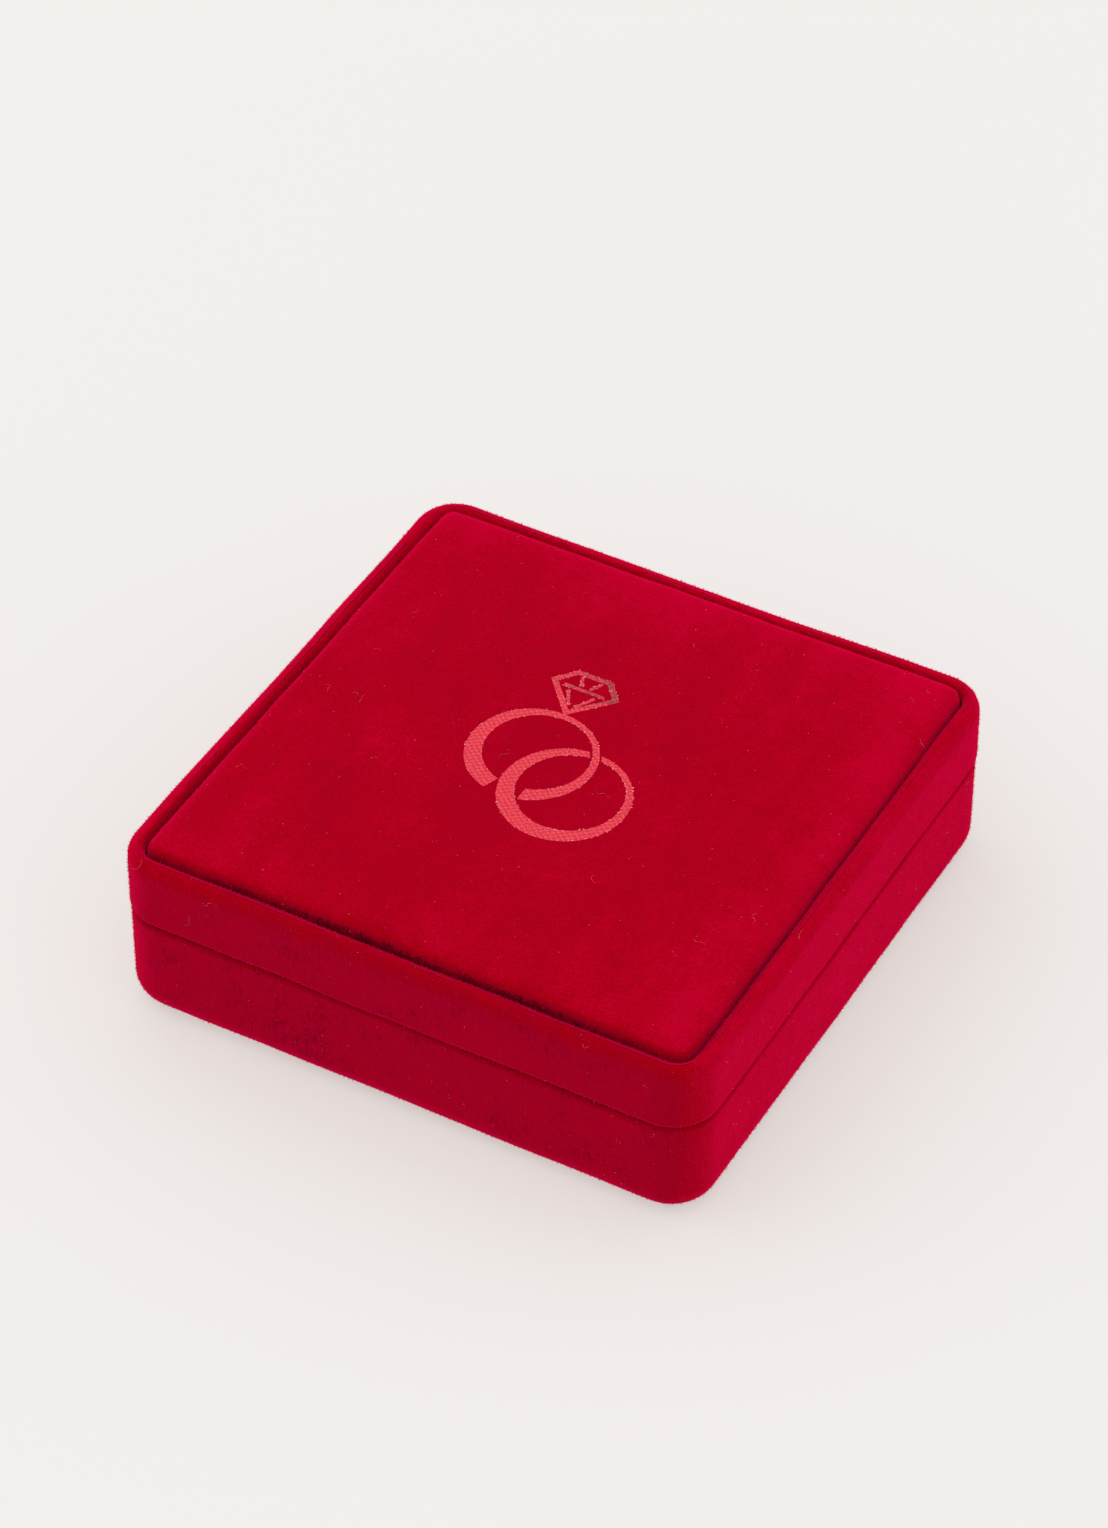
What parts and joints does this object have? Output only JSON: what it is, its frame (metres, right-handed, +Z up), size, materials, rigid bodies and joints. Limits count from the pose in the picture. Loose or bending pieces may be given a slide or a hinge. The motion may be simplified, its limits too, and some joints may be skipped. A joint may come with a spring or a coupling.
{
  "type": "ring box",
  "caption": "Flat square velvet-covered ring box with a padded top panel, a stamped foil ornament, a spring hinge at the back and a slotted ring pad inside.",
  "frame": {"origin": "centre of the underside, on the surface that the box stands on", "axes": "+X to the box's right, -Y out of the front, +Y towards the hinge, +Z up"},
  "size_m": [0.1, 0.1, 0.0316],
  "materials": {
    "velvet": "short-pile velvet",
    "lining_velvet": "short-pile velvet",
    "satin": "satin weave",
    "plastic": "moulded",
    "card": "grey board",
    "underside": "flocked board",
    "foam": "open-cell foam",
    "foil": "stamped foil",
    "steel": "plated"
  },
  "bodies": {
    "base": {"base_shell": "plastic", "base_cover": "velvet", "bottom_panel": "underside", "base_lining": "lining_velvet", "pad_board": "card", "pad_foam": "foam", "pad_cover": "lining_velvet", "hinge_base_leaf": "steel", "hinge_pin": "steel", "hinge_spring": "steel", "hinge_rivet_base_left": "steel", "hinge_rivet_base_right": "steel"},
    "lid": {"lid_shell": "plastic", "lid_cover": "velvet", "panel_board": "card", "panel_foam": "foam", "panel_cover": "velvet", "emblem": "foil", "lid_wall_lining": "satin", "lining_board": "card", "lining_wadding": "foam", "lining_cover": "satin", "hinge_lid_leaf": "steel", "hinge_rivet_lid_left": "steel", "hinge_rivet_lid_right": "steel"}
  },
  "joints": [
    {"name": "lid_hinge", "type": "hinge", "parent": "base", "child": "lid", "pos_m": [0, 0.0484, 0.01855], "axis": [-1, 0, 0], "range_deg": [0, 95]}
  ]
}
